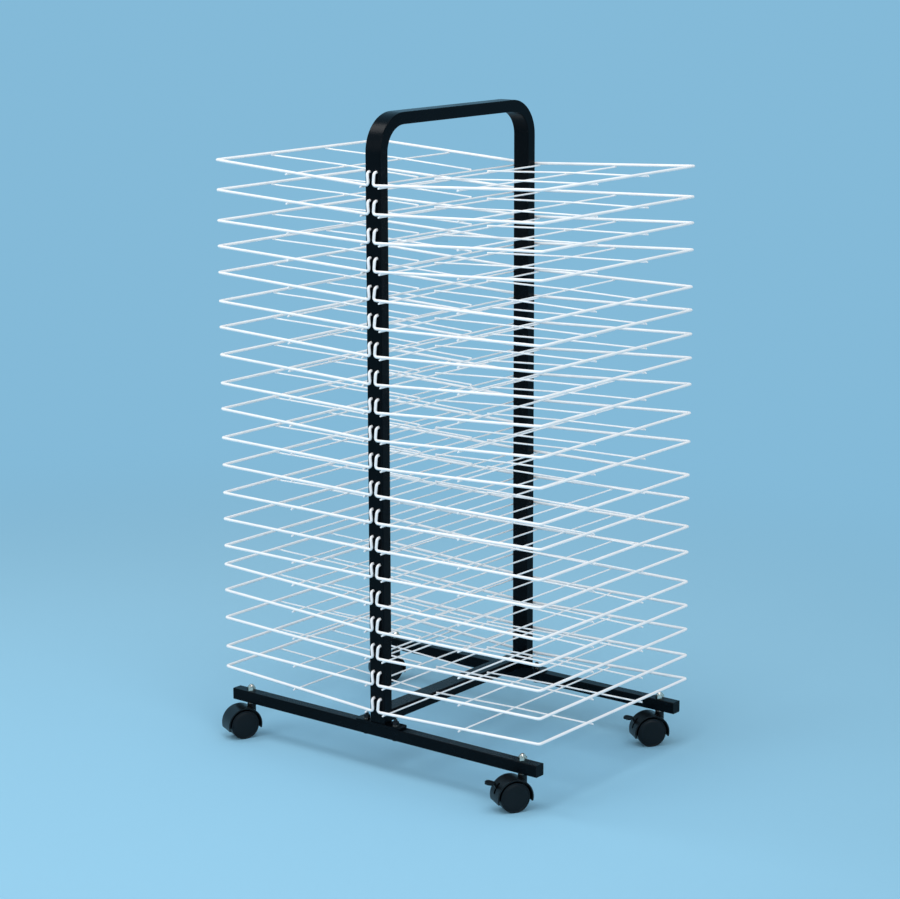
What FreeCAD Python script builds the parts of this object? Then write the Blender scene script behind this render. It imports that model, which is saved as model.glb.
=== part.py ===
"""Art drying rack: a steel hoop on four casters that carries forty lift-up wire shelves.

Frame: X runs from post to post, Y along the foot rails, Z up; the origin is on the floor
under the middle of the rack. Shelves called "right" reach toward -Y, "left" toward +Y.
"""
import FreeCAD, Part
import math
import os
import Sketcher
from FreeCAD import Placement, Rotation, Vector

doc = FreeCAD.newDocument("art_drying_rack")
dim = doc.addObject("Spreadsheet::Sheet", "dim")

# Driving dimensions: alias, value (millimetres, degrees or a count), what it is.
SIZES = (
    ("rack_span", 416, "outside width over the two posts"),
    ("head_room", 92, "hoop top above the top hook holes"),
    ("tube_depth", 31, "hoop tube, along Y"),
    ("tube_thick", 20, "hoop tube, along X"),
    ("tube_wall", 1.5, "wall of every tube"),
    ("tube_edge", 1, "flat broken off each long edge of the hoop tube"),
    ("hoop_bend", 62, "outside radius of the hoop's two bends"),
    ("rail_length", 652, "foot rail"),
    ("rail_width", 20, "foot rail, along X"),
    ("rail_height", 20, "foot rail, along Z"),
    ("rail_edge", 1.5, "corner radius of the foot rail"),
    ("bar_depth", 30, "cross bar, along Y"),
    ("bar_height", 20, "cross bar, along Z"),
    ("bar_lift", 2, "cross bar above the foot plates"),
    ("plate_length", 96, "foot plate, along Y"),
    ("plate_width", 24, "foot plate, along X"),
    ("plate_thick", 4, "foot plate"),
    ("plate_corner", 6, "foot plate corner radius"),
    ("bolt_reach", 31, "frame bolt from the middle of the post"),
    ("bolt_shank", 6, "frame bolt diameter"),
    ("bolt_play", 0.3, "radial room of a bolt or stem in its hole"),
    ("head_width", 12, "frame bolt head diameter"),
    ("head_thick", 2.2, "frame bolt head"),
    ("washer_width", 12, "frame washer diameter"),
    ("washer_thick", 1.2, "frame washer"),
    ("nut_flats", 10, "frame nut across flats"),
    ("nut_thick", 5, "frame nut"),
    ("nut_play", 0.1, "room between a frame bolt and its nut"),
    ("bolt_stand", 3.5, "bolt end above its nut"),
    ("levels", 20, "shelves on each side"),
    ("level_pitch", 46, "from one shelf to the next"),
    ("first_rise", 42, "hook holes of the lowest shelf above the foot plates"),
    ("hook_offset", 7, "hook holes from the middle of the post"),
    ("hook_play", 0.5, "room round a hook tip in its hole"),
    ("thick_wire", 5, "shelf frame wire"),
    ("thin_wire", 3, "shelf grid wire"),
    ("shelf_reach", 328, "hook tips to front wire"),
    ("leg_stand", 2.5, "hook legs clear of the post"),
    ("hook_drop", 21, "hook tips above the shelf frame"),
    ("hook_lean", 3, "foot of each hook leg behind its tip"),
    ("hook_grip", 7, "hook tip inside the post"),
    ("corner_cut", 2.5, "bevel that turns each front corner"),
    ("wire_end", 4, "grid wire end past the wire that carries it"),
    ("back_gap", 0.5, "back grid wire clear of the posts when level"),
    ("shelf_rise", 1.75, "usual rise of a shelf in degrees"),
    ("rise_step", 0.25, "one step of unevenness in degrees"),
    ("stem_reach", 292, "caster stem from the middle of the rail"),
    ("caster_height", 61, "floor to underside of rail"),
    ("caster_trail", 18.3, "wheel axle behind the stem"),
    ("stem_width", 8, "caster stem diameter"),
    ("stem_top", 7.5, "caster stem above the rail"),
    ("stem_seat", 8, "caster stem inside its socket"),
    ("collar_width", 12.5, "stem collar diameter"),
    ("collar_thick", 2.4, "stem collar"),
    ("socket_width", 15, "swivel socket diameter"),
    ("cap_flats", 13, "dome nut across flats"),
    ("cap_hex", 6, "dome nut, height of the hexagon"),
    ("cap_height", 11, "dome nut over all"),
    ("cap_dome", 11.6, "dome diameter"),
    ("cap_sink", 0.4, "dome set into the hexagon below it"),
    ("wheel_width", 50, "wheel diameter"),
    ("wheel_tread", 12.6, "tread length of one wheel"),
    ("wheel_edge", 1.2, "tread corner"),
    ("wheel_dome", 1, "bulge of the wheel disc"),
    ("wheel_gap", 0.3, "wheel clear of the web"),
    ("web_width", 7, "hood web between the wheels"),
    ("hood_gap", 3.6, "hood clear of the tread"),
    ("hood_wall", 2.2, "hood shell"),
    ("hood_width", 35, "hood over both wheels"),
    ("hood_front", 14, "hood below the axle on the stem side in degrees"),
    ("hood_back", 15, "hood below the axle on the trailing side in degrees"),
    ("axle_width", 6, "axle diameter"),
    ("axle_grip", 9.5, "axle inside each wheel"),
    ("turn_play", 0.05, "radial room of a running fit"),
    ("end_gap", 0.3, "room at the end of a running fit"),
    ("brake_slot", 5, "slot for the brake lever"),
    ("brake_play", 0.4, "lever clear of each side of the slot"),
    ("brake_pin", 2.5, "lever pin diameter"),
    ("brake_radius", 22, "lever pin from the axle"),
    ("brake_angle", 24, "lever pin above the axle in degrees"),
    ("neck_thick", 3, "lever neck between the hub and the pedal"),
    ("elbow_reach", 6, "bend of the lever neck behind the pin"),
    ("elbow_rise", 6.5, "bend of the lever neck above the pin"),
    ("pedal_length", 15.5, "lever pedal"),
    ("pedal_width", 22, "lever pedal"),
    ("pedal_thick", 2.4, "lever pedal"),
    ("pedal_rise", 16.4, "pedal above the lever pin"),
    ("pedal_start", 11, "pedal behind the lever pin"),
    ("swivel_front_right", 148.9, "trailing direction from +X in degrees"),
    ("swivel_front_left", 153.7, "trailing direction from +X in degrees"),
    ("swivel_back_right", 141.8, "trailing direction from +X in degrees"),
    ("swivel_back_left", 150, "trailing direction from +X in degrees"),
)
for row, (alias, value, meaning) in enumerate(SIZES, start=1):
    dim.set(f"A{row}", alias)
    dim.set(f"B{row}", str(value))
    dim.set(f"C{row}", meaning)
    dim.setAlias(f"B{row}", alias)
doc.recompute()

# Steps of unevenness of the shelves, lowest first: each set of hooks hangs a little its own way.
LEFT_STEPS = (3, -4, 0, 2, 2, -7, -6, -6, -4, -3, 0, -1, 1, 2, 1, 3, 2, 0, 4, 7)
RIGHT_STEPS = (3, 0, 0, -3, -6, -2, -3, -1, -5, 3, 5, 7, 6, 2, -2, -7, 4, 3, 1, 4)

# Heights and places that several sub-parts share.
RAIL_TOP = "(dim.caster_height + dim.rail_height)"
PLATE_TOP = f"({RAIL_TOP} + dim.plate_thick)"
FIRST_HOOK = f"({PLATE_TOP} + dim.first_rise)"
HOOP_TOP = f"({FIRST_HOOK} + (dim.levels - 1) * dim.level_pitch + dim.head_room)"
POST_X = "(dim.rack_span / 2 - dim.tube_thick / 2)"
RAIL_X = "(dim.rack_span / 2 - dim.rail_width / 2)"
LEG_X = "(dim.rack_span / 2 + dim.leg_stand + dim.thick_wire / 2)"
HOOD_INNER = "(dim.wheel_width / 2 + dim.hood_gap)"
HOOD_OUTER = f"({HOOD_INNER} + dim.hood_wall)"
AXLE_Z = "(dim.wheel_width / 2)"
BOLT_HOLE = "(dim.bolt_shank + 2 * dim.bolt_play)"
SOCKET_TOP = "(dim.caster_height - dim.collar_thick - dim.end_gap)"

parts = {}


def number(formula):
    """Present value of a formula over the driving dimensions."""
    value = dim.evalExpression(str(formula))
    return float(getattr(value, "Value", value))


def new_body(name):
    """A body whose label is the sub-part's name."""
    body = doc.addObject("PartDesign::Body", name)
    body.Label = name
    doc.recompute()
    return body


def origin_part(body, role):
    """One of the body's own origin planes or axes."""
    return [part for part in body.Origin.OriginFeatures if part.Role == role][0]


def new_sketch(body, name, role, offset="0", shift="0", tilt="0"):
    """A sketch on an origin plane, moved off it and tilted about its own X by formulas."""
    sketch = body.newObject("Sketcher::SketchObject", name)
    sketch.AttachmentSupport = (origin_part(body, role), "")
    sketch.MapMode = "FlatFace"
    turn = Rotation(Vector(1, 0, 0), number(tilt))
    sketch.AttachmentOffset = Placement(Vector(0, number(shift), number(offset)), turn)
    turn = f"rotation(vector(1; 0; 0); {tilt})"
    sketch.setExpression("AttachmentOffset", f"placement(vector(0; {shift}; {offset}); {turn})")
    return sketch


def bind(sketch, constraint, formula):
    """Add one dimension to a sketch and tie it to a formula."""
    index = sketch.addConstraint(constraint)
    sketch.setExpression(f"Constraints[{index}]", str(formula))


def pin_point(sketch, geometry, vertex, across, up):
    """Tie a vertex to the sketch origin by two formulas."""
    if across is not None:
        distance = Sketcher.Constraint("DistanceX", -1, 1, geometry, vertex, number(across))
        bind(sketch, distance, across)
    if up is not None:
        distance = Sketcher.Constraint("DistanceY", -1, 1, geometry, vertex, number(up))
        bind(sketch, distance, up)


def draw_lines(sketch, points, closed=True):
    """Straight lines through points given as pairs of formulas."""
    spots = [Vector(number(across), number(up), 0) for across, up in points]
    count = len(points) if closed else len(points) - 1
    first = sketch.GeometryCount
    for step in range(count):
        sketch.addGeometry(Part.LineSegment(spots[step], spots[(step + 1) % len(points)]), False)
    for step in range(count - 1):
        sketch.addConstraint(Sketcher.Constraint("Coincident", first + step, 2, first + step + 1, 1))
    if closed:
        sketch.addConstraint(Sketcher.Constraint("Coincident", first + count - 1, 2, first, 1))
    for step in range(count):
        pin_point(sketch, first + step, 1, *points[step])
    if not closed:
        pin_point(sketch, first + count - 1, 2, *points[-1])


def draw_circle(sketch, across, up, diameter):
    """A circle whose centre and diameter are formulas."""
    centre = Vector(number(across), number(up), 0)
    index = sketch.addGeometry(Part.Circle(centre, Vector(0, 0, 1), number(diameter) / 2), False)
    pin_point(sketch, index, 3, across, up)
    bind(sketch, Sketcher.Constraint("Diameter", index, number(diameter)), diameter)


def draw_polygon(sketch, across, up, flats, sides):
    """A regular polygon with a flat on top, sized across its flats."""
    reach = f"({flats}) / 2 / cos(180 deg / {sides})"
    points = []
    for corner in range(sides):
        turn = f"({corner} + 0.5) * 360 deg / {sides} - 90 deg"
        points.append((f"{across} + {reach} * cos({turn})", f"{up} + {reach} * sin({turn})"))
    draw_lines(sketch, points)


def draw_arc(sketch, across, up, radius, start, end):
    """An arc about a centre given by formulas; its ends and so its radius are tied by the caller."""
    circle = Part.Circle(Vector(number(across), number(up), 0), Vector(0, 0, 1), number(radius))
    angles = (math.radians(number(start)), math.radians(number(end)))
    index = sketch.addGeometry(Part.ArcOfCircle(circle, *angles), False)
    pin_point(sketch, index, 3, across, up)
    return index


def add_pad(body, name, sketch, length, midplane=False, backward=False):
    """Pad a sketch to a length given as a formula."""
    pad = body.newObject("PartDesign::Pad", name)
    pad.Profile = sketch
    pad.Midplane = midplane
    pad.Reversed = backward
    pad.setExpression("Length", length)
    return pad


def add_pocket(body, name, sketch, depth, midplane=False, backward=False):
    """Cut a sketch to a depth given as a formula and make sure that it cuts."""
    doc.recompute()
    before = body.Shape.Volume
    pocket = body.newObject("PartDesign::Pocket", name)
    pocket.Profile = sketch
    pocket.Midplane = midplane
    pocket.Reversed = backward
    pocket.setExpression("Length", depth)
    doc.recompute()
    if body.Shape.Volume > before - 1e-3:
        raise RuntimeError(f"{name} cuts nothing")
    return pocket


def round_edges(body, name, axis, radius):
    """Round every straight edge of the body's tip that runs along an axis."""
    doc.recompute()
    base = body.Tip
    chosen = []
    for index, edge in enumerate(base.Shape.Edges, start=1):
        if edge.Curve.TypeId == "Part::GeomLine" and abs(edge.Curve.Direction.dot(axis)) > 0.999:
            chosen.append(f"Edge{index}")
    fillet = body.newObject("PartDesign::Fillet", name)
    fillet.Base = (base, chosen)
    fillet.Radius = number(radius)
    fillet.setExpression("Radius", radius)
    return fillet


def revolve(body, name, sketch, axis_role):
    """Turn a sketch once round one of the body's origin axes."""
    turned = body.newObject("PartDesign::Revolution", name)
    turned.Profile = sketch
    turned.ReferenceAxis = (origin_part(body, axis_role), [""])
    turned.Angle = 360
    return turned


def place(body, across="0", along="0", up="0", turn="0", rise="0"):
    """Stand a body at a place, turned about Z and then raised about its own X, by formulas."""
    turns = f"rotation(vector(0; 0; 1); {turn}) * rotation(vector(1; 0; 0); {rise})"
    body.setExpression("Placement", f"placement(vector({across}; {along}; {up}); {turns})")


def keep(body):
    """Count a body as a finished sub-part."""
    parts[body.Label] = body
    return body


def copy_of(original, name):
    """A second body that follows the first one's shape."""
    body = new_body(name)
    link = body.newObject("PartDesign::FeatureBase", name + "_shape")
    link.BaseFeature = original
    body.Tip = link
    return keep(body)


def join_solids(name, bodies):
    """One sub-part made of several separate bodies that stay separate solids."""
    group = doc.addObject("Part::Compound", name)
    group.Label = name
    group.Links = bodies
    parts[name] = group
    return group


def make_hoop():
    """The bent rectangular tube: one section swept up a post, over the top and down again."""
    body = new_body("hoop_frame")
    path = new_sketch(body, "hoop_path", "XZ_Plane")
    middle_bend = "(dim.hoop_bend - dim.tube_thick / 2)"
    bend_x = "(dim.rack_span / 2 - dim.hoop_bend)"
    bend_z = f"({HOOP_TOP} - dim.hoop_bend)"
    top_z = f"({HOOP_TOP} - dim.tube_thick / 2)"
    draw_lines(path, [(f"-{POST_X}", PLATE_TOP), (f"-{POST_X}", bend_z)], closed=False)
    first = draw_arc(path, f"-{bend_x}", bend_z, middle_bend, "90", "180")
    top = path.addGeometry(Part.LineSegment(
        Vector(-number(bend_x), number(top_z), 0),
        Vector(number(bend_x), number(top_z), 0),
    ), False)
    pin_point(path, top, 1, f"-{bend_x}", None)
    pin_point(path, top, 2, bend_x, None)
    second = draw_arc(path, bend_x, bend_z, middle_bend, "0", "90")
    draw_lines(path, [(POST_X, bend_z), (POST_X, PLATE_TOP)], closed=False)
    path.addConstraint(Sketcher.Constraint("Coincident", 0, 2, first, 2))
    path.addConstraint(Sketcher.Constraint("Coincident", first, 1, top, 1))
    path.addConstraint(Sketcher.Constraint("Coincident", top, 2, second, 2))
    path.addConstraint(Sketcher.Constraint("Coincident", second, 1, 4, 1))
    section = new_sketch(body, "hoop_section", "XY_Plane", PLATE_TOP)
    for inset, edge in (("0", "dim.tube_edge"), ("dim.tube_wall", "dim.tube_edge / 2")):
        wide = f"(dim.tube_thick / 2 - {inset})"
        deep = f"(dim.tube_depth / 2 - {inset})"
        corners = []
        for side, end in ((1, 1), (-1, 1), (-1, -1), (1, -1)):
            long_edge = (f"-{POST_X} + {side} * {wide}", f"{end} * ({deep} - {edge})")
            short_edge = (f"-{POST_X} + {side} * ({wide} - {edge})", f"{end} * {deep}")
            corners += [long_edge, short_edge] if side * end > 0 else [short_edge, long_edge]
        draw_lines(section, corners)
    tube = body.newObject("PartDesign::AdditivePipe", "hoop_tube")
    tube.Profile = section
    tube.Spine = (path, ["Edge1", "Edge2", "Edge3", "Edge4", "Edge5"])
    doc.recompute()
    for side, end in ((1, "near"), (-1, "far")):
        holes = new_sketch(body, f"hook_holes_{end}", "YZ_Plane", f"{side} * dim.rack_span / 2")
        for column in (1, -1):
            flats = "(dim.thick_wire + 2 * dim.hook_play)"
            draw_polygon(holes, f"{column} * dim.hook_offset", FIRST_HOOK, flats, 6)
        depth = "(dim.tube_wall + 1)"
        punched = add_pocket(body, f"hook_punch_{end}", holes, depth, backward=side < 0)
        rows = body.newObject("PartDesign::LinearPattern", f"hook_rows_{end}")
        rows.Originals = [punched]
        rows.Direction = (holes, ["V_Axis"])
        rows.setExpression("Length", "dim.level_pitch * (dim.levels - 1)")
        rows.setExpression("Occurrences", "dim.levels")
        body.Tip = rows
        doc.recompute()
    return keep(body)


def make_cross_bar():
    """The tube between the posts, just above the foot plates."""
    body = new_body("cross_bar")
    section = new_sketch(body, "bar_section", "YZ_Plane")
    middle = f"({PLATE_TOP} + dim.bar_lift + dim.bar_height / 2)"
    draw_box(section, "0", middle, "dim.bar_depth", "dim.bar_height")
    inside = "2 * dim.tube_wall"
    draw_box(section, "0", middle, f"dim.bar_depth - {inside}", f"dim.bar_height - {inside}")
    add_pad(body, "bar_tube", section, "dim.rack_span - 2 * dim.tube_thick", midplane=True)
    return keep(body)


def draw_box(sketch, across, up, wide, high):
    """A rectangle about a point given by formulas."""
    points = []
    for side, level in ((-1, -1), (1, -1), (1, 1), (-1, 1)):
        points.append((f"{across} + {side} * ({wide}) / 2", f"{up} + {level} * ({high}) / 2"))
    draw_lines(sketch, points)


def make_rail(name, side):
    """One foot rail: a square tube closed at both ends, drilled for stems and bolts."""
    body = new_body(name)
    middle = "(dim.caster_height + dim.rail_height / 2)"
    section = new_sketch(body, name + "_section", "XZ_Plane")
    draw_box(section, "0", middle, "dim.rail_width", "dim.rail_height")
    add_pad(body, name + "_bar", section, "dim.rail_length", midplane=True)
    round_edges(body, name + "_edges", Vector(0, 1, 0), "dim.rail_edge")
    bore = new_sketch(body, name + "_bore", "XZ_Plane")
    inside = "2 * dim.tube_wall"
    draw_box(bore, "0", middle, f"dim.rail_width - {inside}", f"dim.rail_height - {inside}")
    add_pocket(body, name + "_hollow", bore, f"dim.rail_length - {inside}", midplane=True)
    drill = new_sketch(body, name + "_drill", "XY_Plane", "dim.caster_height")
    for end in (-1, 1):
        draw_polygon(drill, "0", f"{end} * dim.bolt_reach", BOLT_HOLE, 8)
        draw_circle(drill, "0", f"{end} * dim.stem_reach", "dim.stem_width + 2 * dim.bolt_play")
    add_pocket(body, name + "_holes", drill, "dim.rail_height", backward=True)
    place(body, across=f"{side} * {RAIL_X}")
    return body


def make_plate(name, side):
    """One flat foot plate between the rail and the post."""
    body = new_body(name)
    outline = new_sketch(body, name + "_outline", "XY_Plane", RAIL_TOP)
    draw_box(outline, "0", "0", "dim.plate_width", "dim.plate_length")
    add_pad(body, name + "_flat", outline, "dim.plate_thick")
    round_edges(body, name + "_corners", Vector(0, 0, 1), "dim.plate_corner")
    drill = new_sketch(body, name + "_drill", "XY_Plane", RAIL_TOP)
    for end in (-1, 1):
        draw_polygon(drill, "0", f"{end} * dim.bolt_reach", BOLT_HOLE, 8)
    add_pocket(body, name + "_holes", drill, "dim.plate_thick", backward=True)
    place(body, across=f"{side} * {POST_X}")
    return body


def make_bolt():
    """A frame bolt about Z: low head under the rail and shank up through the plate."""
    body = new_body("frame_bolt")
    head = new_sketch(body, "head_outline", "XY_Plane", "dim.caster_height")
    draw_polygon(head, "0", "0", "dim.head_width", 12)
    add_pad(body, "bolt_head", head, "dim.head_thick", backward=True)
    shank = new_sketch(body, "shank_outline", "XY_Plane", "dim.caster_height")
    draw_polygon(shank, "0", "0", "dim.bolt_shank", 8)
    length = f"{PLATE_TOP} - dim.caster_height + dim.washer_thick + dim.nut_thick + dim.bolt_stand"
    add_pad(body, "bolt_shank", shank, length)
    return body


def make_ring(name, bottom, thickness, outside, sides):
    """A flat ring about Z with an eight-sided hole for a frame bolt."""
    body = new_body(name)
    outline = new_sketch(body, name + "_outline", "XY_Plane", bottom)
    draw_polygon(outline, "0", "0", outside, sides)
    draw_polygon(outline, "0", "0", "(dim.bolt_shank + 2 * dim.nut_play)", 8)
    add_pad(body, name + "_ring", outline, thickness)
    return body


def make_stem():
    """A caster stem about Z with the collar that meets the rail's underside."""
    body = new_body("caster_stem")
    profile = new_sketch(body, "stem_profile", "XZ_Plane")
    foot = f"({SOCKET_TOP} - dim.stem_seat)"
    collar = "(dim.caster_height - dim.collar_thick)"
    shank = "(dim.stem_width / 2)"
    brim = "(dim.collar_width / 2)"
    end = f"({RAIL_TOP} + dim.stem_top)"
    draw_lines(profile, [
        ("0", foot),
        (shank, foot),
        (shank, collar),
        (brim, collar),
        (brim, "dim.caster_height"),
        (shank, "dim.caster_height"),
        (shank, end),
        ("0", end),
    ])
    revolve(body, "stem_turned", profile, "Z_Axis")
    return body


def make_cap_nut():
    """A dome nut about Z: hexagon below, dome above, blind bore over the stem."""
    body = new_body("cap_nut")
    flats = new_sketch(body, "cap_outline", "XY_Plane", RAIL_TOP)
    draw_polygon(flats, "0", "0", "dim.cap_flats", 6)
    add_pad(body, "cap_hexagon", flats, "dim.cap_hex")
    dome = new_sketch(body, "dome_profile", "XZ_Plane")
    low = f"({RAIL_TOP} + dim.cap_hex - dim.cap_sink)"
    high = f"({RAIL_TOP} + dim.cap_height)"
    rim = "(dim.cap_dome / 2)"
    shoulder = f"({low} + ({high} - {low}) * 0.5)"
    draw_lines(dome, [
        ("0", low),
        (rim, low),
        (f"{rim} * 0.95", shoulder),
        (f"{rim} * 0.45", high),
        ("0", high),
    ])
    revolve(body, "cap_dome_turned", dome, "Z_Axis")
    drill = new_sketch(body, "cap_drill", "XY_Plane", RAIL_TOP)
    draw_polygon(drill, "0", "0", "(dim.stem_width + 2 * dim.nut_play)", 8)
    add_pocket(body, "cap_bore", drill, "dim.stem_top + dim.end_gap", backward=True)
    return body


def set_out(name, original, spots):
    """Copies of one fastener at several places, kept as separate solids of one sub-part."""
    bodies = []
    for count, (across, along) in enumerate(spots, start=1):
        body = new_body(f"{name}_{count}")
        link = body.newObject("PartDesign::FeatureBase", f"{name}_{count}_shape")
        link.BaseFeature = original
        body.Tip = link
        place(body, across=across, along=along)
        bodies.append(body)
    return bodies


def add_wire(body, name, section, path, runs):
    """Sweep a wire section along straight runs with mitred bends."""
    doc.recompute()
    wire = body.newObject("PartDesign::AdditivePipe", name)
    wire.Profile = section
    wire.Spine = (path, [f"Edge{run}" for run in range(1, runs + 1)])
    wire.Transition = "Right corner"
    doc.recompute()
    return wire


# A shelf is drawn about its hook axis: Y points outward and the frame hangs below the tips.
FRAME_Z = "(-dim.hook_drop)"
GRID_Z = f"({FRAME_Z} - dim.thick_wire / 2 - dim.thin_wire / 2)"
BACK_Y = "(dim.tube_depth / 2 - dim.hook_offset + dim.thin_wire / 2 + dim.back_gap)"
MIDDLE_Y = f"(({BACK_Y} + dim.shelf_reach) / 2)"


def make_frame_wire():
    """The thick wire, bent from one length: hook tip, leg, side, front and back again.

    Every wire of the shelf is drawn with flats across its true diameter. The legs lean, so
    their upper halves and the tips are drawn in a plane tilted about the hook axis.
    """
    body = new_body("shelf_frame_wire")
    reach = "dim.shelf_reach"
    stub = "4 * dim.thick_wire"
    halfway = "(-dim.hook_drop / 2)"
    lean = "atan(dim.hook_lean / dim.hook_drop)"
    half_leg = "(dim.hook_drop / 2 / cos(atan(dim.hook_lean / dim.hook_drop)))"
    cut = "dim.corner_cut"
    edge = new_sketch(body, "edge_path", "XY_Plane", FRAME_Z)
    draw_lines(edge, [
        ("0", reach),
        (f"{LEG_X} - {cut}", reach),
        (LEG_X, f"{reach} - {cut}"),
        (LEG_X, stub),
    ], closed=False)
    edge_section = new_sketch(body, "edge_section", "YZ_Plane")
    draw_polygon(edge_section, reach, FRAME_Z, "dim.thick_wire", 6)
    front = add_wire(body, "front_and_side", edge_section, edge, 3)

    leg = new_sketch(body, "leg_path", "YZ_Plane", LEG_X)
    heel = ("-dim.hook_lean", FRAME_Z)
    draw_lines(leg, [(stub, FRAME_Z), heel, ("-dim.hook_lean / 2", halfway)], closed=False)
    leg_section = new_sketch(body, "leg_section", "XZ_Plane", f"-{stub}")
    draw_polygon(leg_section, LEG_X, FRAME_Z, "dim.thick_wire", 6)
    foot = add_wire(body, "side_and_leg", leg_section, leg, 2)

    tip = new_sketch(body, "tip_path", "XZ_Plane", tilt=f"-{lean}")
    grip_x = "(dim.rack_span / 2 - dim.hook_grip)"
    draw_lines(tip, [(LEG_X, f"-{half_leg}"), (LEG_X, "0"), (grip_x, "0")], closed=False)
    tip_section = new_sketch(body, "tip_section", "XY_Plane", halfway, "-dim.hook_lean / 2", f"-{lean}")
    draw_polygon(tip_section, LEG_X, "0", "dim.thick_wire", 6)
    hook = add_wire(body, "leg_and_tip", tip_section, tip, 2)

    mirrored = body.newObject("PartDesign::Mirrored", "other_half")
    mirrored.Originals = [front, foot, hook]
    mirrored.MirrorPlane = (origin_part(body, "YZ_Plane"), [""])
    body.Tip = mirrored
    return body


def make_cross_wire(name, along):
    """A thin wire welded under both sides of the shelf, with its ends standing out."""
    body = new_body(name)
    section = new_sketch(body, name + "_section", "YZ_Plane")
    draw_polygon(section, along, GRID_Z, "dim.thin_wire", 6)
    add_pad(body, name + "_rod", section, f"2 * ({LEG_X} + dim.wire_end)", midplane=True)
    return body


def make_long_wire(name, side):
    """A thin wire that lies on both cross wires and dips under the front wire."""
    body = new_body(name)
    across = f"({side} * {LEG_X} / 3)"
    start = f"({BACK_Y} - dim.thin_wire / 2)"
    over = f"({GRID_Z} + dim.thin_wire)"
    path = new_sketch(body, name + "_path", "YZ_Plane", across)
    draw_lines(path, [
        (start, over),
        (f"{MIDDLE_Y} + 2 * dim.thin_wire", over),
        ("dim.shelf_reach - 2 * dim.thick_wire", GRID_Z),
        ("dim.shelf_reach + dim.wire_end", GRID_Z),
    ], closed=False)
    section = new_sketch(body, name + "_section", "XZ_Plane", f"-{start}")
    draw_polygon(section, across, over, "dim.thin_wire", 6)
    add_wire(body, name + "_rod", section, path, 3)
    return body


def hang_shelves():
    """Forty shelves, lowest first, each raised by the usual rise and its own unevenness."""
    wires = [
        make_frame_wire(),
        make_cross_wire("shelf_back_wire", BACK_Y),
        make_cross_wire("shelf_middle_wire", MIDDLE_Y),
        make_long_wire("shelf_long_wire_a", 1),
        make_long_wire("shelf_long_wire_b", -1),
    ]
    for side, steps, turn, way in (("left", LEFT_STEPS, 0, 1), ("right", RIGHT_STEPS, 180, -1)):
        for level in range(round(number("dim.levels"))):
            shelf = join_solids(f"shelf_{side}_{level + 1:02d}", wires)
            rise = f"dim.shelf_rise + dim.rise_step * {steps[level % len(steps)]}"
            height = f"{FIRST_HOOK} + dim.level_pitch * {level}"
            place(shelf, along=f"{way} * dim.hook_offset", up=height, turn=str(turn), rise=rise)


def sector_points(radius, low, high, steps):
    """Formulas of points on a circle about the axle, seen with the trailing side at +X."""
    points = []
    for step in range(steps + 1):
        turn = f"({low} + ({high} - {low}) * {step} / {steps}) * 1 deg"
        points.append((f"dim.caster_trail + {radius} * cos({turn})", f"{AXLE_Z} + {radius} * sin({turn})"))
    return points


def draw_sector(sketch, radius, low, high):
    """The part of a disc about the axle above a chord between two angles, in degrees."""
    arc = draw_arc(sketch, "dim.caster_trail", AXLE_Z, radius, low, high)
    ends = sector_points(radius, low, high, 1)
    chord = sketch.addGeometry(Part.LineSegment(
        Vector(number(ends[1][0]), number(ends[1][1]), 0),
        Vector(number(ends[0][0]), number(ends[0][1]), 0),
    ), False)
    sketch.addConstraint(Sketcher.Constraint("Coincident", arc, 2, chord, 1))
    sketch.addConstraint(Sketcher.Constraint("Coincident", chord, 2, arc, 1))
    bind(sketch, Sketcher.Constraint("Radius", arc, number(radius)), radius)
    pin_point(sketch, arc, 1, None, ends[0][1])
    pin_point(sketch, arc, 2, None, ends[1][1])


def make_hood(name, braked):
    """Caster hood about its stem: shell over both wheels, web, swivel socket and axle.

    The trailing side points to +X and the axle runs along Y.
    """
    body = new_body(name)
    cover = new_sketch(body, name + "_side", "XZ_Plane")
    draw_sector(cover, HOOD_OUTER, "-dim.hood_back", "180 + dim.hood_front")
    add_pad(body, name + "_cover", cover, "dim.hood_width", midplane=True)
    socket = new_sketch(body, name + "_socket_circle", "XY_Plane", AXLE_Z)
    draw_circle(socket, "0", "0", "dim.socket_width")
    add_pad(body, name + "_socket", socket, f"{SOCKET_TOP} - {AXLE_Z}")
    for side, end in ((1, "a"), (-1, "b")):
        room = new_sketch(body, f"{name}_room_{end}", "XZ_Plane", f"{side} * dim.web_width / 2")
        draw_circle(room, "dim.caster_trail", AXLE_Z, f"2 * {HOOD_INNER}")
        add_pocket(body, f"{name}_wheel_room_{end}", room, "dim.hood_width", backward=side > 0)
    bore = new_sketch(body, name + "_bore_circle", "XY_Plane", SOCKET_TOP)
    draw_circle(bore, "0", "0", "dim.stem_width + 2 * dim.turn_play")
    add_pocket(body, name + "_bore", bore, "dim.stem_seat + dim.end_gap")
    if braked:
        add_brake_seat(body, name)
    axle = new_sketch(body, name + "_axle_circle", "XZ_Plane")
    draw_circle(axle, "dim.caster_trail", AXLE_Z, "dim.axle_width")
    length = "dim.web_width + 2 * (dim.wheel_gap + dim.axle_grip)"
    add_pad(body, name + "_axle", axle, length, midplane=True)
    return keep(body)


PIN_X = "(dim.caster_trail + dim.brake_radius * cos(dim.brake_angle * 1 deg))"
PIN_Z = f"({AXLE_Z} + dim.brake_radius * sin(dim.brake_angle * 1 deg))"
HUB = "(dim.brake_pin + 2.4)"


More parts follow.
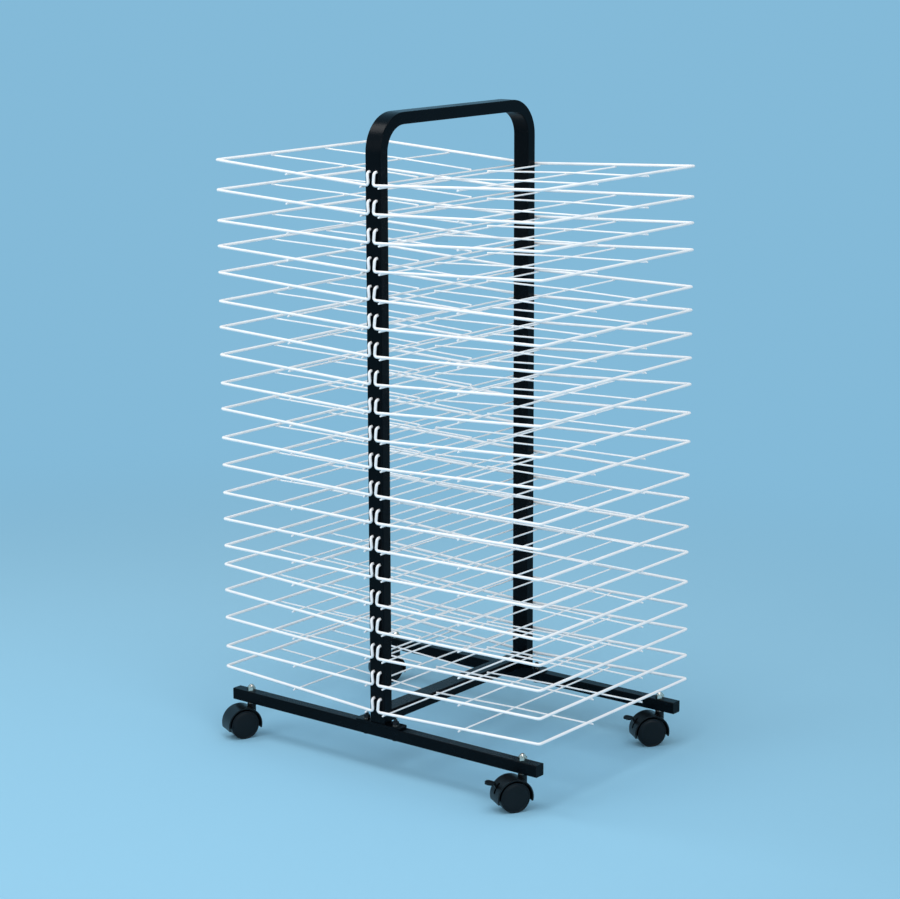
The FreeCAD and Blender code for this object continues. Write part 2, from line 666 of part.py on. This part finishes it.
def add_brake_seat(body, name):
    """The slot in the hood's back that holds the brake lever, and the pin that it turns on."""
    slot = new_sketch(body, name + "_slot_outline", "XZ_Plane")
    room = f"({HUB} * 0.71 + dim.end_gap)"
    draw_lines(slot, [
        (f"{PIN_X} - {room}", f"{PIN_Z} - {room}"),
        (f"{PIN_X} + 3 * {room}", f"{PIN_Z} - {room}"),
        (f"{PIN_X} + 3 * {room}", f"{PIN_Z} + 5 * {room}"),
        (f"{PIN_X} - {room}", f"{PIN_Z} + 3 * {room}"),
    ])
    add_pocket(body, name + "_slot", slot, "dim.brake_slot", midplane=True)
    pin = new_sketch(body, name + "_pin_circle", "XZ_Plane")
    draw_circle(pin, PIN_X, PIN_Z, "dim.brake_pin")
    add_pad(body, name + "_pin", pin, "dim.web_width", midplane=True)


def make_lever(name):
    """Brake lever in the hood's place: a hub on the pin, a neck through the slot and a pedal."""
    body = new_body(name)
    neck_width = "(dim.brake_slot - 2 * dim.brake_play)"
    side = new_sketch(body, name + "_side", "XZ_Plane")
    half_hub = f"{HUB} / 2"
    half_thick = "dim.pedal_thick / 2"
    half_neck = "dim.neck_thick / 2"
    level = f"({PIN_Z} + dim.pedal_rise)"
    start = f"({PIN_X} + dim.pedal_start)"
    elbow_x = f"{PIN_X} + dim.elbow_reach"
    elbow_z = f"{PIN_Z} + dim.elbow_rise"
    draw_lines(side, [
        (f"{PIN_X} - {half_hub}", f"{PIN_Z} - {half_hub}"),
        (f"{PIN_X} + {half_hub}", f"{PIN_Z} - {half_hub}"),
        (f"{elbow_x} + {half_neck}", f"{elbow_z} - {half_neck}"),
        (f"{start} + {half_neck}", f"{level} - {half_thick}"),
        (f"{start} + {half_neck}", f"{level} + {half_thick}"),
        (f"{start} - {half_neck}", f"{level} + {half_thick}"),
        (f"{elbow_x} - {half_neck}", f"{elbow_z} + {half_neck}"),
        (f"{PIN_X} - {half_hub}", f"{PIN_Z} + {half_hub}"),
    ])
    add_pad(body, name + "_neck", side, neck_width, midplane=True)
    leaf = new_sketch(body, name + "_leaf", "XY_Plane", f"{level} - {half_thick}")
    tip = f"({start} + dim.pedal_length)"
    half_leaf = "dim.pedal_width / 2"
    draw_lines(leaf, [
        (f"{start} - 1", f"-{neck_width} / 2"),
        (f"{start} + dim.pedal_length * 0.25", f"-{half_leaf} * 0.9"),
        (f"{start} + dim.pedal_length * 0.5", f"-{half_leaf}"),
        (f"{start} + dim.pedal_length * 0.8", f"-{half_leaf} * 0.7"),
        (tip, "0"),
        (f"{start} + dim.pedal_length * 0.8", f"{half_leaf} * 0.7"),
        (f"{start} + dim.pedal_length * 0.5", half_leaf),
        (f"{start} + dim.pedal_length * 0.25", f"{half_leaf} * 0.9"),
        (f"{start} - 1", f"{neck_width} / 2"),
    ])
    add_pad(body, name + "_pedal", leaf, "dim.pedal_thick")
    bore = new_sketch(body, name + "_bore_circle", "XZ_Plane")
    draw_circle(bore, PIN_X, PIN_Z, "dim.brake_pin + 2 * dim.turn_play")
    add_pocket(body, name + "_bore", bore, "dim.brake_slot", midplane=True)
    return keep(body)


def make_wheel(name):
    """One wheel on the +Y side of the web, turned about its axle: domed disc and blind bore."""
    body = new_body(name)
    profile = new_sketch(body, name + "_profile", "YZ_Plane")
    inner = "(dim.web_width / 2 + dim.wheel_gap)"
    outer = f"({inner} + dim.wheel_tread)"
    radius = "(dim.wheel_width / 2)"
    bore = "(dim.axle_width / 2 + dim.turn_play)"
    deep = f"({inner} + dim.axle_grip + dim.end_gap)"
    draw_lines(profile, [
        (deep, "0"),
        (deep, bore),
        (inner, bore),
        (inner, radius),
        (f"{outer} - dim.wheel_edge", radius),
        (outer, f"{radius} - dim.wheel_edge"),
        (f"{outer} + dim.wheel_dome", f"{radius} * 0.55"),
        (f"{outer} + dim.wheel_dome", "0"),
    ])
    revolve(body, name + "_turned", profile, "Y_Axis")
    return keep(body)


def caster_place(body, corner, across, along, on_axle=False, flip=False):
    """Stand a hood, lever or wheel at its stem and turn it to the caster's trailing direction."""
    turn = f"dim.swivel_{corner}"
    spot_x = f"{across} * {RAIL_X}"
    spot_y = f"{along} * dim.stem_reach"
    if not on_axle:
        place(body, across=spot_x, along=spot_y, turn=turn)
        return
    spot_x = f"{spot_x} + dim.caster_trail * cos({turn} * 1 deg)"
    spot_y = f"{spot_y} + dim.caster_trail * sin({turn} * 1 deg)"
    place(body, across=spot_x, along=spot_y, up=AXLE_Z, turn=f"{turn} + {180 if flip else 0}")


def make_casters():
    """Four casters: the two toward -Y have brake levers."""
    plain = braked = lever = wheel = None
    corners = (
        ("front_right", -1, -1),
        ("front_left", -1, 1),
        ("back_right", 1, -1),
        ("back_left", 1, 1),
    )
    for corner, across, along in corners:
        has_brake = along < 0
        hood_name = f"caster_hood_{corner}"
        if has_brake:
            hood = copy_of(braked, hood_name) if braked else make_hood(hood_name, True)
            braked = braked or hood
            lever_name = f"brake_lever_{corner}"
            pressed = copy_of(lever, lever_name) if lever else make_lever(lever_name)
            lever = lever or pressed
            caster_place(pressed, corner, across, along)
        else:
            hood = copy_of(plain, hood_name) if plain else make_hood(hood_name, False)
            plain = plain or hood
        caster_place(hood, corner, across, along)
        for end in ("a", "b"):
            wheel_name = f"wheel_{corner}_{end}"
            rolled = copy_of(wheel, wheel_name) if wheel else make_wheel(wheel_name)
            wheel = wheel or rolled
            caster_place(rolled, corner, across, along, on_axle=True, flip=end == "b")


def make_frame():
    """Hoop, cross bar, rails and plates with the fasteners that hold them."""
    make_hoop()
    make_cross_bar()
    join_solids("foot_rails", [make_rail("rail_front", -1), make_rail("rail_back", 1)])
    join_solids("foot_plates", [make_plate("plate_front", -1), make_plate("plate_back", 1)])
    bolts = [(f"{side} * {POST_X}", f"{end} * dim.bolt_reach") for side in (-1, 1) for end in (-1, 1)]
    stems = [(f"{side} * {RAIL_X}", f"{end} * dim.stem_reach") for side in (-1, 1) for end in (-1, 1)]
    washer = make_ring("frame_washer", PLATE_TOP, "dim.washer_thick", "dim.washer_width", 12)
    nut_seat = f"({PLATE_TOP} + dim.washer_thick)"
    nut = make_ring("frame_nut", nut_seat, "dim.nut_thick", "dim.nut_flats", 6)
    join_solids("frame_bolts", set_out("bolt", make_bolt(), bolts) + set_out("nut", nut, bolts))
    bright = set_out("stem", make_stem(), stems) + set_out("cap", make_cap_nut(), stems)
    join_solids("zinc_hardware", bright + set_out("washer", washer, bolts))


make_frame()
hang_shelves()
make_casters()
doc.recompute()

for item in doc.Objects:
    if "Invalid" in item.State or "Error" in item.State:
        raise RuntimeError(f"{item.Name} failed: {item.State}")
for name, item in parts.items():
    if item.Shape.isNull() or not item.Shape.isValid() or not item.Shape.Solids:
        raise RuntimeError(f"{name} has no valid solid")

os.makedirs("parts", exist_ok=True)
for name, item in parts.items():
    item.Shape.exportStep(f"parts/{name}.step")
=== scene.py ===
import math

import bpy
from mathutils import Matrix, Vector


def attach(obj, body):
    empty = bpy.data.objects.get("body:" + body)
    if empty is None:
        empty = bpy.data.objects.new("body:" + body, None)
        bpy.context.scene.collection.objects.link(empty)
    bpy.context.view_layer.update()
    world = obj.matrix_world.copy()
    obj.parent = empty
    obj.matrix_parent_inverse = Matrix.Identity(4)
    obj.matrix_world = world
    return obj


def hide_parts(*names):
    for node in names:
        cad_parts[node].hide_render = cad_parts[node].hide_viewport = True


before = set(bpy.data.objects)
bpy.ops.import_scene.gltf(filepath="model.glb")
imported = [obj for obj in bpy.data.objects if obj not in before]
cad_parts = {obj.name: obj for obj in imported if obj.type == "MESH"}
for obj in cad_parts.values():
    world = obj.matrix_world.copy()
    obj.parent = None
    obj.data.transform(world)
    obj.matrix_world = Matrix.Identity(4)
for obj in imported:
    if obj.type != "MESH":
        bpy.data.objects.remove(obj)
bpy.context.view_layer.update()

# --- Room -------------------------------------------------------------------------------
# A plain pale floor that stretches out into an even backdrop, broad soft lamps and the camera.
# The floor keeps its shadows near the rack and fades into the backdrop further out.

FLOOR_SIZE = 400
FLOOR_MIDDLE = (-0.25, 0.32, 0)
FLOOR_COLOUR = (0.271, 0.535, 0.722, 1)
BACKDROP_COLOUR = (0.23, 0.49, 0.69, 1)
AIR_COLOUR = (1.0, 1.0, 1.0, 1)
AIR_STRENGTH = 0.62
FADE_FROM = 0.8
FADE_TO = 2.4
LAMPS = (
    ("lamp_above", (-0.7, -0.5, 3.2), (0, 0, 0.3), 1.5, 28),
    ("lamp_behind", (-0.9, 1.8, 3.1), (0, 0, 0.5), 0.9, 14),
    ("lamp_left", (-2.8, 0.9, 1.9), (0, 0, 0.5), 1.8, 22),
    ("lamp_right", (-1.6, -3.2, 2.0), (0, 0, 0.5), 1.8, 29),
)
EYE = (-3.2407, -2.5331, 1.43085)
EYE_TURN = -51.898
EYE_TILT = 78.661
EYE_ROLL = -0.153
SENSOR_WIDTH = 36
LENS = 99.701
LENS_SHIFT = -0.06

bpy.context.scene.view_settings.view_transform = "Standard"


def shader(material):
    """The material's main shader, with nodes switched on."""
    material.use_nodes = True
    return material.node_tree.nodes["Principled BSDF"]


def turned(degrees, axis):
    """A turn about one axis."""
    return Matrix.Rotation(math.radians(degrees), 4, axis)


def seen_directly(tree):
    """One for the rays that see a background: camera, glossy and transmission rays."""
    ray = tree.nodes.new("ShaderNodeLightPath")
    total = ray.outputs["Is Camera Ray"]
    for kind in ("Is Glossy Ray", "Is Transmission Ray"):
        added = tree.nodes.new("ShaderNodeMath")
        added.operation = "ADD"
        added.use_clamp = True
        tree.links.new(total, added.inputs[0])
        tree.links.new(ray.outputs[kind], added.inputs[1])
        total = added.outputs["Value"]
    return total


def mix_shaders(tree, factor, first, second, output):
    """Let a factor choose between two shaders of one tree."""
    mix = tree.nodes.new("ShaderNodeMixShader")
    tree.links.new(factor, mix.inputs["Fac"])
    tree.links.new(first, mix.inputs[1])
    tree.links.new(second, mix.inputs[2])
    tree.links.new(mix.outputs["Shader"], tree.nodes[output].inputs["Surface"])


bpy.ops.object.select_all(action="DESELECT")
bpy.ops.mesh.primitive_plane_add(size=FLOOR_SIZE, location=FLOOR_MIDDLE)
floor = bpy.context.object
floor.name = "studio_floor"
floor_paint = bpy.data.materials.new("studio_floor_paint")
floor_shader = shader(floor_paint)
floor_shader.inputs["Base Color"].default_value = FLOOR_COLOUR
floor_shader.inputs["Roughness"].default_value = 0.95
floor_shader.inputs["Specular IOR Level"].default_value = 0.0
floor.data.materials.append(floor_paint)

ground = floor_paint.node_tree
spot = ground.nodes.new("ShaderNodeTexCoord")
distance = ground.nodes.new("ShaderNodeVectorMath")
distance.operation = "LENGTH"
ground.links.new(spot.outputs["Object"], distance.inputs[0])
fade = ground.nodes.new("ShaderNodeMapRange")
fade.interpolation_type = "SMOOTHSTEP"
fade.inputs["From Min"].default_value = FADE_FROM
fade.inputs["From Max"].default_value = FADE_TO
ground.links.new(distance.outputs["Value"], fade.inputs["Value"])
far_and_seen = ground.nodes.new("ShaderNodeMath")
far_and_seen.operation = "MULTIPLY"
ground.links.new(fade.outputs["Result"], far_and_seen.inputs[0])
ground.links.new(seen_directly(ground), far_and_seen.inputs[1])
backdrop = ground.nodes.new("ShaderNodeEmission")
backdrop.inputs["Color"].default_value = BACKDROP_COLOUR
mix_shaders(
    ground, far_and_seen.outputs["Value"],
    floor_shader.outputs["BSDF"], backdrop.outputs["Emission"], "Material Output",
)

world = bpy.data.worlds.new("studio_air")
bpy.context.scene.world = world
world.use_nodes = True
air = world.node_tree
lit_air = air.nodes["Background"]
lit_air.inputs["Color"].default_value = AIR_COLOUR
lit_air.inputs["Strength"].default_value = AIR_STRENGTH
seen_air = air.nodes.new("ShaderNodeBackground")
seen_air.inputs["Color"].default_value = BACKDROP_COLOUR
mix_shaders(
    air, seen_directly(air),
    lit_air.outputs["Background"], seen_air.outputs["Background"], "World Output",
)

for name, place, target, size, power in LAMPS:
    bpy.ops.object.light_add(type="AREA", location=place)
    lamp = bpy.context.object
    lamp.name = name
    lamp.data.size = size
    lamp.data.energy = power
    aim = Vector(target) - Vector(place)
    lamp.rotation_euler = aim.to_track_quat("-Z", "Y").to_euler()

bpy.ops.object.camera_add(location=EYE)
camera = bpy.context.object
camera.name = "studio_camera"
camera.data.sensor_width = SENSOR_WIDTH
camera.data.lens = LENS
camera.data.shift_y = LENS_SHIFT
look = turned(EYE_TURN, "Z") @ turned(EYE_TILT, "X") @ turned(EYE_ROLL, "Z")
camera.matrix_world = Matrix.Translation(EYE) @ look
bpy.context.scene.camera = camera

# --- Hoop, cross bar, rails and foot plates -----------------------------------------------
# Rectangular and square steel tube, bent, cut and welded, and two flat steel plates. All of it
# is powder coated in satin black: a soft skin with a fine orange peel and softened edges.

TUBE_EDGE = 0.0004
PLATE_EDGE = 0.0005
CUT_STEPS = 2
MERGE_GAP = 1e-6
FLAT_ANGLE = 1
SHARP_ANGLE = 32
SMOOTH_ANGLE = 35


def round_edges(piece, width, steps, angle):
    """Bevel the edges of the active piece that are sharper than an angle."""
    soft_edge = piece.modifiers.new("soft_edge", "BEVEL")
    soft_edge.width = width
    soft_edge.segments = steps
    soft_edge.limit_method = "ANGLE"
    soft_edge.angle_limit = math.radians(angle)
    bpy.ops.object.modifier_apply(modifier="soft_edge")


def clean_copy(node, name, edge, steps=CUT_STEPS):
    """A copy of a drilled or bent piece with whole faces and softly rounded edges."""
    bpy.ops.object.select_all(action="DESELECT")
    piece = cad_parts[node].copy()
    piece.data = piece.data.copy()
    piece.name = name
    piece.parent = None
    piece.matrix_world = Matrix.Identity(4)
    bpy.context.scene.collection.objects.link(piece)
    piece.select_set(True)
    bpy.context.view_layer.objects.active = piece
    bpy.ops.object.mode_set(mode="EDIT")
    bpy.ops.mesh.select_all(action="SELECT")
    bpy.ops.mesh.remove_doubles(threshold=MERGE_GAP)
    bpy.ops.mesh.dissolve_limited(angle_limit=math.radians(FLAT_ANGLE))
    bpy.ops.object.mode_set(mode="OBJECT")
    round_edges(piece, edge, steps, SHARP_ANGLE)
    bpy.ops.object.shade_smooth_by_angle(angle=math.radians(SMOOTH_ANGLE))
    even_faces = piece.modifiers.new("even_faces", "WEIGHTED_NORMAL")
    even_faces.keep_sharp = True
    bpy.ops.object.modifier_apply(modifier="even_faces")
    piece.data.materials.clear()
    return piece


def add_noise(material, scale, detail=3.0):
    """A noise pattern fixed to the piece itself."""
    tree = material.node_tree
    where = tree.nodes.new("ShaderNodeTexCoord")
    noise = tree.nodes.new("ShaderNodeTexNoise")
    noise.inputs["Scale"].default_value = scale
    noise.inputs["Detail"].default_value = detail
    tree.links.new(where.outputs["Object"], noise.inputs["Vector"])
    return noise.outputs["Fac"]


def cloud(material, scale, smooth, rough, dark, light):
    """Let one broad pattern move the colour and the roughness between two near levels."""
    tree = material.node_tree
    pattern = add_noise(material, scale)
    ramp = tree.nodes.new("ShaderNodeValToRGB")
    ramp.color_ramp.elements[0].position = 0.35
    ramp.color_ramp.elements[0].color = (*dark, 1)
    ramp.color_ramp.elements[1].position = 0.65
    ramp.color_ramp.elements[1].color = (*light, 1)
    tree.links.new(pattern, ramp.inputs["Fac"])
    tree.links.new(ramp.outputs["Color"], shader(material).inputs["Base Color"])
    levels = tree.nodes.new("ShaderNodeMapRange")
    levels.inputs["From Min"].default_value = 0.3
    levels.inputs["From Max"].default_value = 0.7
    levels.inputs["To Min"].default_value = smooth
    levels.inputs["To Max"].default_value = rough
    tree.links.new(pattern, levels.inputs["Value"])
    tree.links.new(levels.outputs["Result"], shader(material).inputs["Roughness"])


def grain(material, scale, strength, depth, detail=2):
    """Give the surface a fine relief."""
    tree = material.node_tree
    bump = tree.nodes.new("ShaderNodeBump")
    bump.inputs["Strength"].default_value = strength
    bump.inputs["Distance"].default_value = depth
    tree.links.new(add_noise(material, scale, detail), bump.inputs["Height"])
    tree.links.new(bump.outputs["Normal"], shader(material).inputs["Normal"])


powder_coat = bpy.data.materials.new("black_powder_coat")
shader(powder_coat).inputs["Specular IOR Level"].default_value = 0.08
# The black is the paint's own; the faint blue in these colours is painted reflection of the
# blue floor's light.
cloud(
    powder_coat, scale=9, smooth=0.22, rough=0.32,
    dark=(0.0005, 0.0012, 0.0022), light=(0.001, 0.0022, 0.0038),
)
grain(powder_coat, scale=900, strength=0.12, depth=0.0004)

for node, name, edge in (
    ("hoop_frame", "hoop_tube", TUBE_EDGE),
    ("cross_bar", "cross_tube", TUBE_EDGE),
    ("foot_rails", "rail_tubes", TUBE_EDGE),
    ("foot_plates", "plates", PLATE_EDGE),
):
    steel = clean_copy(node, name, edge)
    steel.data.materials.append(powder_coat)
    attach(steel, "frame")
    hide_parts(node)

# --- Shelves ------------------------------------------------------------------------------
# Each shelf is one thick wire bent to a tray with a hook at each end, and four thin wires spot
# welded under it. The whole shelf is dipped in white plastic, thick enough to round every end.
# Twenty hang on each side of the hoop, each a little unevenly, as the coated hooks settle.

LEG_X = 0.213
TIP_X = 0.201
HOOK_DROP = 0.021
HOOK_LEAN = 0.003
REACH = 0.328
THICK = 0.0025
THIN = 0.0015
THICK_BEND = 0.005
THIN_BEND = 0.004
BEND_STEPS = 4
THICK_FINENESS = 3
THIN_FINENESS = 2
BACK_Y = 0.0105
MIDDLE_Y = (BACK_Y + REACH) / 2
GRID_Z = -0.025
OVER_CROSS_Z = GRID_Z + 2 * THIN
DIP_FROM_Y = MIDDLE_Y + 4 * THIN
DIP_TO_Y = REACH - 4 * THICK
END = 0.004
WELD = 0.0017
WELD_FLATNESS = 0.6
WIRE_SMOOTH_ANGLE = 50

LEVELS = 20
FIRST_HOOK = 0.127
PITCH = 0.046
HOOK_Y = 0.007
TILT_STEP = 0.25
TIP_SLICE = 0.001


def bend_wire(name, points, radius, bend, fineness):
    """A round wire along straight runs with rounded bends and closed ends."""
    bpy.ops.object.select_all(action="DESELECT")
    bpy.ops.mesh.primitive_plane_add(size=0.01, location=(0, 0, 0))
    wire = bpy.context.object
    wire.name = name
    bpy.ops.object.mode_set(mode="EDIT")
    bpy.ops.mesh.select_all(action="SELECT")
    bpy.ops.mesh.merge(type="CENTER")
    bpy.ops.transform.translate(value=points[0])
    for start, end in zip(points, points[1:]):
        run = Vector(end) - Vector(start)
        bpy.ops.mesh.extrude_region_move(TRANSFORM_OT_translate={"value": run})
    bpy.ops.mesh.select_mode(type="VERT")
    bpy.ops.mesh.select_all(action="DESELECT")
    bpy.ops.object.mode_set(mode="OBJECT")
    if len(points) > 2:
        for index, corner in enumerate(wire.data.vertices):
            corner.select = 0 < index < len(points) - 1
        bpy.ops.object.mode_set(mode="EDIT")
        bpy.ops.mesh.bevel(
            offset=bend, offset_type="OFFSET", segments=BEND_STEPS, affect="VERTICES",
        )
        bpy.ops.object.mode_set(mode="OBJECT")
    bpy.ops.object.convert(target="CURVE")
    wire.data.fill_mode = "FULL"
    wire.data.bevel_depth = radius
    wire.data.bevel_resolution = fineness
    wire.data.use_fill_caps = True
    bpy.ops.object.convert(target="MESH")
    return bpy.context.object


def weld_bead(place):
    """A small flat bead where two wires cross."""
    bpy.ops.object.select_all(action="DESELECT")
    bpy.ops.mesh.primitive_uv_sphere_add(
        segments=10, ring_count=6, radius=WELD, location=place,
    )
    bpy.ops.transform.resize(value=(1, 1, WELD_FLATNESS))
    bpy.ops.object.transform_apply(location=True, rotation=True, scale=True)
    return bpy.context.object


def join_pieces(pieces, name):
    """One mesh out of several."""
    bpy.ops.object.select_all(action="DESELECT")
    for piece in pieces:
        piece.select_set(True)
    bpy.context.view_layer.objects.active = pieces[0]
    bpy.ops.object.join()
    joined = bpy.context.object
    joined.name = name
    bpy.ops.object.transform_apply(location=True, rotation=True, scale=True)
    return joined


def hung_tilt(node, hook_z):
    """How far a shelf of the frame rises, read from its long wires' front ends."""
    spots = [vertex.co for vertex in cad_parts[node].data.vertices]
    reach = max(abs(spot.y) for spot in spots)
    tips = [spot.z for spot in spots if reach - abs(spot.y) < TIP_SLICE]
    height = (max(tips) + min(tips)) / 2 - hook_z
    tilt = math.atan2(height, reach - HOOK_Y) - math.atan2(GRID_Z, REACH + END)
    return TILT_STEP * round(math.degrees(tilt) / TILT_STEP)


white_dip = bpy.data.materials.new("white_plastic_dip")
shader(white_dip).inputs["Coat Weight"].default_value = 0.3
shader(white_dip).inputs["Coat Roughness"].default_value = 0.15
cloud(
    white_dip, scale=14, smooth=0.28, rough=0.4,
    dark=(0.89, 0.89, 0.90), light=(0.94, 0.94, 0.95),
)
grain(white_dip, scale=260, strength=0.15, depth=0.0003)

half_path = [
    (TIP_X, 0, 0),
    (LEG_X, 0, 0),
    (LEG_X, -HOOK_LEAN, -HOOK_DROP),
    (LEG_X, REACH, -HOOK_DROP),
]
other_half = [(-across, along, up) for across, along, up in reversed(half_path)]
tray_path = half_path + other_half
wires = [bend_wire("tray_wire", tray_path, THICK, THICK_BEND, THICK_FINENESS)]
for along in (BACK_Y, MIDDLE_Y):
    ends = [(-LEG_X - END, along, GRID_Z), (LEG_X + END, along, GRID_Z)]
    wires.append(bend_wire("cross_wire", ends, THIN, 0, THIN_FINENESS))

# The long wires lie on the cross wires and dip under the tray's front.
for side in (-1, 1):
    across = side * LEG_X / 3
    line = [
        (across, BACK_Y - THIN, OVER_CROSS_Z),
        (across, DIP_FROM_Y, OVER_CROSS_Z),
        (across, DIP_TO_Y, GRID_Z),
        (across, REACH + END, GRID_Z),
    ]
    wires.append(bend_wire("long_wire", line, THIN, THIN_BEND, THIN_FINENESS))

for side in (-1, 1):
    for along in (BACK_Y, MIDDLE_Y):
        wires.append(weld_bead((side * LEG_X, along, GRID_Z + THIN)))
for side in (-1, 1):
    for along in (BACK_Y, MIDDLE_Y, REACH):
        wires.append(weld_bead((side * LEG_X / 3, along, GRID_Z + THIN)))
tray = join_pieces(wires, "tray_pattern")
bpy.ops.object.shade_smooth_by_angle(angle=math.radians(WIRE_SMOOTH_ANGLE))
tray.data.materials.clear()
tray.data.materials.append(white_dip)

for side, hook_y, turn in (("left", HOOK_Y, 0), ("right", -HOOK_Y, 180)):
    for level in range(LEVELS):
        node = f"shelf_{side}_{level + 1:02d}"
        hook_z = FIRST_HOOK + PITCH * level
        shelf = tray.copy()
        shelf.data = tray.data.copy()
        shelf.name = f"wires_{side}_{level + 1:02d}"
        bpy.context.scene.collection.objects.link(shelf)
        hang = Matrix.Translation((0, hook_y, hook_z))
        hang = hang @ turned(turn, "Z") @ turned(hung_tilt(node, hook_z), "X")
        shelf.data.transform(hang)
        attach(shelf, node)
        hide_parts(node)
bpy.data.objects.remove(tray)

# --- Caster hoods and brake levers --------------------------------------------------------
# Injection-moulded black nylon: a shell over both wheels, a web between them and a socket for
# the stem. The two casters on one side have a leaf-shaped pedal that presses on the wheels.

HOOD_EDGE = 0.0007
PEDAL_EDGE = 0.0006
MOULDED_STEPS = 3

hood_nylon = bpy.data.materials.new("black_nylon_gloss")
shader(hood_nylon).inputs["Specular IOR Level"].default_value = 0.26
cloud(
    hood_nylon, scale=30, smooth=0.28, rough=0.4,
    dark=(0.0016, 0.0017, 0.002), light=(0.0032, 0.0033, 0.0038),
)
grain(hood_nylon, scale=1600, strength=0.1, depth=0.0002)

for corner in ("front_right", "front_left", "back_right", "back_left"):
    hood = clean_copy(f"caster_hood_{corner}", f"hood_{corner}", HOOD_EDGE, MOULDED_STEPS)
    hood.data.materials.append(hood_nylon)
    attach(hood, f"caster_hood_{corner}")
    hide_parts(f"caster_hood_{corner}")

for corner in ("front_right", "back_right"):
    pedal = clean_copy(f"brake_lever_{corner}", f"pedal_{corner}", PEDAL_EDGE, MOULDED_STEPS)
    pedal.data.materials.append(hood_nylon)
    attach(pedal, f"brake_lever_{corner}")
    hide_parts(f"brake_lever_{corner}")

# --- Wheels -------------------------------------------------------------------------------
# Two moulded nylon wheels on each caster, hollow towards the web, with a slightly domed disc
# and a fine groove near its rim.

WHEEL_RADIUS = 0.025
WEB_SIDE = 0.0038
TREAD = 0.0126
TRAIL = 0.0183
RIM_EDGE = 0.0011
RIM_ANGLE = 50
WHEEL_SMOOTH_ANGLE = 40
WHEEL_SIDES = 72
SAME_WAY = 0.99
STEM_X = 0.198
STEM_Y = 0.292

# Each step goes inwards from the rim by the first number and out of the face by the second.
DISC_STEPS = (
    (0.0019, 0), (0.0004, -0.0006), (0.0004, 0), (0.0009, 0.0006),
    (0.004, 0.0004), (0.006, 0.0003), (0.006, 0.0002),
)
HOLLOW_STEPS = (
    (0.003, 0), (0.0004, -0.008), (0.0145, 0),
    (0.0004, 0.008), (0.0035, 0), (0.0001, -0.0098),
)

# Each caster's place along X and Y, and how far it has swivelled.
TRAILING = {
    "front_right": (-1, -1, 148.9), "front_left": (-1, 1, 153.7),
    "back_right": (1, -1, 141.8), "back_left": (1, 1, 150),
}

wheel_nylon = bpy.data.materials.new("black_nylon_satin")
shader(wheel_nylon).inputs["Specular IOR Level"].default_value = 0.26
# The black is the nylon's own; the faint blue in these colours is painted reflection of the
# blue floor's light.
cloud(
    wheel_nylon, scale=40, smooth=0.36, rough=0.48,
    dark=(0.0008, 0.0014, 0.0022), light=(0.0016, 0.0026, 0.004),
)
grain(wheel_nylon, scale=1400, strength=0.12, depth=0.0002)


def step_face(piece, normal, steps):
    """Inset the flat end of a piece that points one way, step by step."""
    for part in (*piece.data.vertices, *piece.data.edges):
        part.select = False
    for face in piece.data.polygons:
        face.select = face.normal.dot(Vector(normal)) > SAME_WAY
    bpy.ops.object.mode_set(mode="EDIT")
    bpy.ops.mesh.select_mode(type="FACE")
    for inwards, outwards in steps:
        bpy.ops.mesh.inset(thickness=inwards, depth=outwards)
    bpy.ops.object.mode_set(mode="OBJECT")


bpy.ops.object.select_all(action="DESELECT")
bpy.ops.mesh.primitive_cylinder_add(vertices=WHEEL_SIDES, radius=WHEEL_RADIUS, depth=TREAD)
wheel = bpy.context.object
wheel.name = "wheel_pattern"
step_face(wheel, (0, 0, 1), DISC_STEPS)
step_face(wheel, (0, 0, -1), HOLLOW_STEPS)
round_edges(wheel, RIM_EDGE, MOULDED_STEPS, RIM_ANGLE)
bpy.ops.object.shade_smooth_by_angle(angle=math.radians(WHEEL_SMOOTH_ANGLE))
wheel.data.materials.append(wheel_nylon)
wheel.data.transform(Matrix.Translation((0, 0, WEB_SIDE + TREAD / 2)))
wheel.data.transform(turned(-90, "X"))

for corner, (across, along, swivel) in TRAILING.items():
    stand = Matrix.Translation((across * STEM_X, along * STEM_Y, WHEEL_RADIUS))
    axle = stand @ turned(swivel, "Z") @ Matrix.Translation((TRAIL, 0, 0))
    for end, half_turn in (("a", 0), ("b", 180)):
        roller = wheel.copy()
        roller.data = wheel.data.copy()
        roller.name = f"roller_{corner}_{end}"
        bpy.context.scene.collection.objects.link(roller)
        roller.data.transform(axle @ turned(half_turn, "Z"))
        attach(roller, f"wheel_{corner}_{end}")
        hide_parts(f"wheel_{corner}_{end}")
bpy.data.objects.remove(wheel)

# --- Dome nuts, stems and washers -----------------------------------------------------------
# Zinc-plated steel: a caster stem with its collar under the rail, a dome nut on top of it, and
# a flat washer under each black nut.

FASTENER_EDGE = 0.0004

zinc_plate = bpy.data.materials.new("bright_zinc_plate")
shader(zinc_plate).inputs["Metallic"].default_value = 1.0
cloud(
    zinc_plate, scale=120, smooth=0.1, rough=0.24,
    dark=(0.6, 0.49, 0.4), light=(0.84, 0.71, 0.6),
)
grain(zinc_plate, scale=900, strength=0.1, depth=0.0002, detail=4)

hardware = clean_copy("zinc_hardware", "zinc_parts", FASTENER_EDGE)
hardware.data.materials.append(zinc_plate)
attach(hardware, "frame")
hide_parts("zinc_hardware")

# --- Frame bolts and nuts -------------------------------------------------------------------
# Blackened steel bolts that hold each foot plate to its rail. Their round heads lie under the
# rail and their nuts sit on the plate.

black_oxide = bpy.data.materials.new("black_oxide_steel")
shader(black_oxide).inputs["Metallic"].default_value = 0.6
cloud(
    black_oxide, scale=150, smooth=0.34, rough=0.5,
    dark=(0.012, 0.012, 0.014), light=(0.03, 0.03, 0.034),
)

bolts = clean_copy("frame_bolts", "bolt_parts", FASTENER_EDGE)
bolts.data.materials.append(black_oxide)
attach(bolts, "frame")
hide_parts("frame_bolts")
